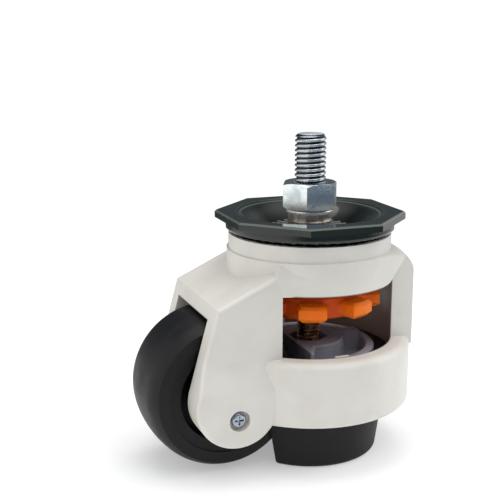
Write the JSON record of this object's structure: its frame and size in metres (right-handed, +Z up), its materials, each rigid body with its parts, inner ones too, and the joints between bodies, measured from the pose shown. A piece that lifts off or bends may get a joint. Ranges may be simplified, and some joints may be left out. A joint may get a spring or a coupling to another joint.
{
  "type": "levelling castor",
  "caption": "Swivel castor with a small wheel beside a rubber levelling foot that a star wheel screws down, under a threaded stem.",
  "frame": {"origin": "on the swivel axis in the plane of the floor, at the middle of the foot's sole", "axes": "+Z up along the swivel axis and the stem, +X towards the front pillar with the wheel behind at -X, Y along the wheel's axle"},
  "size_m": [0.0738, 0.053, 0.083],
  "materials": {
    "cream_coat": "satin cream powder coat on a zinc casting",
    "green_coat": "dark green-grey paint, semi-gloss",
    "zinc": "bright zinc plate",
    "steel": "ground steel",
    "ball_steel": "polished",
    "bronze": "sintered bronze",
    "bronze_steel": "oiled steel",
    "brown_neck": "oiled steel",
    "core_plastic": "black nylon",
    "orange": "orange nylon",
    "grey_plastic": "grey",
    "pad_rubber": "dark grey rubber",
    "tread": "black polyurethane"
  },
  "bodies": {
    "head": {"stem_bolt": "zinc", "lock_nut": "zinc", "neck_washer": "zinc", "neck_bush": "brown_neck", "top_cover": "green_coat"},
    "housing": {"housing": "cream_coat", "hub_bush": "bronze", "race_ring": "steel", "race_balls": "ball_steel", "carrier_plate": "zinc", "plate_screws": "zinc", "axle_pin": "steel", "axle_screw": "zinc", "axle_washer_near": "steel", "axle_washer_far": "steel"},
    "star": {"star_wheel": "orange", "spindle": "bronze_steel", "circlip": "steel"},
    "foot": {"pad_core": "grey_plastic", "spindle_nut": "zinc", "pad_rubber": "pad_rubber"},
    "wheel": {"wheel_tread": "tread", "wheel_core": "core_plastic", "wheel_bush_near": "bronze", "wheel_bush_far": "bronze"}
  },
  "joints": [
    {"name": "swivel", "type": "hinge", "parent": "head", "child": "housing", "pos_m": [0, 0, 0.059], "axis": [0, 0, 1], "continuous": true},
    {"name": "wheel_spin", "type": "hinge", "parent": "housing", "child": "wheel", "pos_m": [-0.0266, 0, 0.02], "axis": [0, 1, 0], "continuous": true},
    {"name": "star_turn", "type": "hinge", "parent": "housing", "child": "star", "pos_m": [0, 0, 0.041], "axis": [0, 0, 1], "range_deg": [-720, 2880]},
    {"name": "foot_slide", "type": "slide", "parent": "housing", "child": "foot", "axis": [0, 0, -1], "range_m": [-0.002, 0.008]}
  ],
  "couplings": [
    {"joint": "star_turn", "follows": "foot_slide", "rad_per_m": 6283.2}
  ]
}
